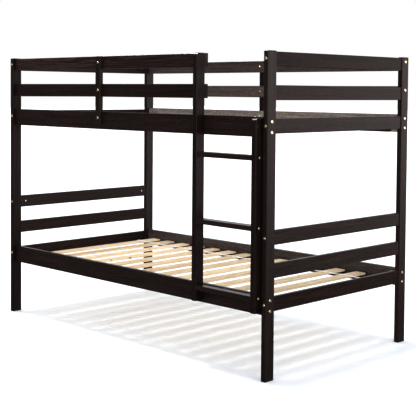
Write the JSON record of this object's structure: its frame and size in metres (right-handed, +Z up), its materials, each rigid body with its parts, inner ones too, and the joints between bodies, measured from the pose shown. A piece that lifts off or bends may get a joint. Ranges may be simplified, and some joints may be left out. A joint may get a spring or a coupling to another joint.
{
  "type": "bunk bed with ladder",
  "caption": "Wooden twin-over-twin bunk bed with guard rails, a fixed ladder at the front corner and loose slatted decks on ledgers.",
  "frame": {"origin": "on the floor, under the middle of the whole bed's box, ladder included", "axes": "+X along the bed towards the ladder end, -Y to the ladder side, +Z up"},
  "size_m": [1.9852, 1.1186, 1.464],
  "materials": {
    "espresso_wood": "dark espresso stain under satin lacquer, pine grain faintly visible",
    "pine_slats": "bare planed pine, matt",
    "webbing": "white woven webbing",
    "brass_hardware": "yellow zinc-plated steel, satin",
    "dowel_wood": "fluted beech dowel, matt"
  },
  "bodies": {
    "frame": {"post_front_left": "espresso_wood", "post_front_right": "espresso_wood", "post_back_left": "espresso_wood", "post_back_right": "espresso_wood", "upper_side_rail_front": "espresso_wood", "upper_side_rail_back": "espresso_wood", "lower_side_rail_front": "espresso_wood", "lower_side_rail_back": "espresso_wood", "guard_top_rail_front": "espresso_wood", "guard_middle_rail_front": "espresso_wood", "guard_top_rail_back": "espresso_wood", "guard_middle_rail_back": "espresso_wood", "guard_support_front": "espresso_wood", "guard_support_back": "espresso_wood", "upper_end_rail_left": "espresso_wood", "upper_middle_slat_left": "espresso_wood", "upper_top_slat_left": "espresso_wood", "upper_end_rail_right": "espresso_wood", "upper_middle_slat_right": "espresso_wood", "upper_top_slat_right": "espresso_wood", "lower_end_rail_left": "espresso_wood", "lower_head_slat_left": "espresso_wood", "lower_head_top_slat_left": "espresso_wood", "lower_end_rail_right": "espresso_wood", "lower_head_slat_right": "espresso_wood", "lower_head_top_slat_right": "espresso_wood", "upper_ledger_front": "espresso_wood", "upper_ledger_back": "espresso_wood", "lower_ledger_front": "espresso_wood", "lower_ledger_back": "espresso_wood", "ladder_stile_left": "espresso_wood", "ladder_stile_right": "espresso_wood", "ladder_tread_1": "espresso_wood", "ladder_tread_2": "espresso_wood", "ladder_tread_3": "espresso_wood", "rail_bolts": "brass_hardware", "end_bolts": "brass_hardware", "support_bolts": "brass_hardware", "support_nuts": "brass_hardware", "ladder_bolts": "brass_hardware", "barrel_nuts": "brass_hardware", "dowels": "dowel_wood", "ledger_screws": "brass_hardware"},
    "lower_deck": {"lower_slat_01": "pine_slats", "lower_slat_02": "pine_slats", "lower_slat_03": "pine_slats", "lower_slat_04": "pine_slats", "lower_slat_05": "pine_slats", "lower_slat_06": "pine_slats", "lower_slat_07": "pine_slats", "lower_slat_08": "pine_slats", "lower_slat_09": "pine_slats", "lower_slat_10": "pine_slats", "lower_slat_11": "pine_slats", "lower_slat_12": "pine_slats", "lower_slat_13": "pine_slats", "lower_slat_14": "pine_slats", "lower_straps": "webbing"},
    "upper_deck": {"upper_slats": "pine_slats", "upper_straps": "webbing"}
  },
  "joints": [
    {"name": "upper_deck_lift", "type": "slide", "parent": "frame", "child": "upper_deck", "axis": [0, 0, 1], "range_m": [0, 0.38]},
    {"name": "lower_deck_lift", "type": "slide", "parent": "frame", "child": "lower_deck", "axis": [0, 0, 1], "range_m": [0, 0.45]}
  ]
}
